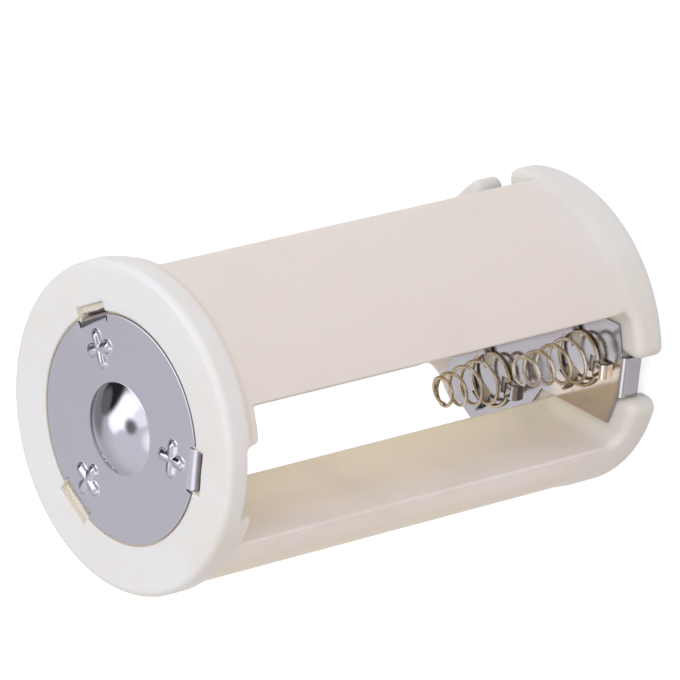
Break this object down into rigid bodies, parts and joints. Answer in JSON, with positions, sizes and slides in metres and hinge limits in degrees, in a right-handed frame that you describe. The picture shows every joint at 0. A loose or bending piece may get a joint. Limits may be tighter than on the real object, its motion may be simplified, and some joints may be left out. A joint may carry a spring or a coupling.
{
  "type": "cylindrical cell holder",
  "caption": "Open cylindrical holder that carries AA cells side by side, in parallel, in the envelope of a D cell, with a domed contact disc and conical springs.",
  "frame": {"origin": "centre of the flat negative end, on the rim's outer face", "axes": "+Z along the long axis, from the negative end to the positive contact dome; one cell bay opens towards +Y"},
  "size_m": [0.0342, 0.0342, 0.0596],
  "materials": {
    "milky_plastic": "satin moulding, slightly translucent",
    "nickel_plate": "bright nickel-plated steel sheet",
    "spring_wire": "drawn spring wire with a warm tint"
  },
  "bodies": {
    "holder": {"holder_body": "milky_plastic", "positive_contact_disc": "nickel_plate", "negative_spring_plate": "nickel_plate", "negative_contact_disc": "nickel_plate"},
    "spring_1": {"cell_spring_1": "spring_wire"},
    "spring_2": {"cell_spring_2": "spring_wire"},
    "spring_3": {"cell_spring_3": "spring_wire"}
  },
  "joints": [
    {"name": "spring_1_press", "type": "slide", "parent": "holder", "child": "spring_1", "axis": [0, 0, -1], "range_m": [0, 0.006], "stiffness_N_per_m": 250, "deforming": ["cell_spring_1"]},
    {"name": "spring_2_press", "type": "slide", "parent": "holder", "child": "spring_2", "axis": [0, 0, -1], "range_m": [0, 0.006], "stiffness_N_per_m": 250, "deforming": ["cell_spring_2"]},
    {"name": "spring_3_press", "type": "slide", "parent": "holder", "child": "spring_3", "axis": [0, 0, -1], "range_m": [0, 0.006], "stiffness_N_per_m": 250, "deforming": ["cell_spring_3"]}
  ]
}
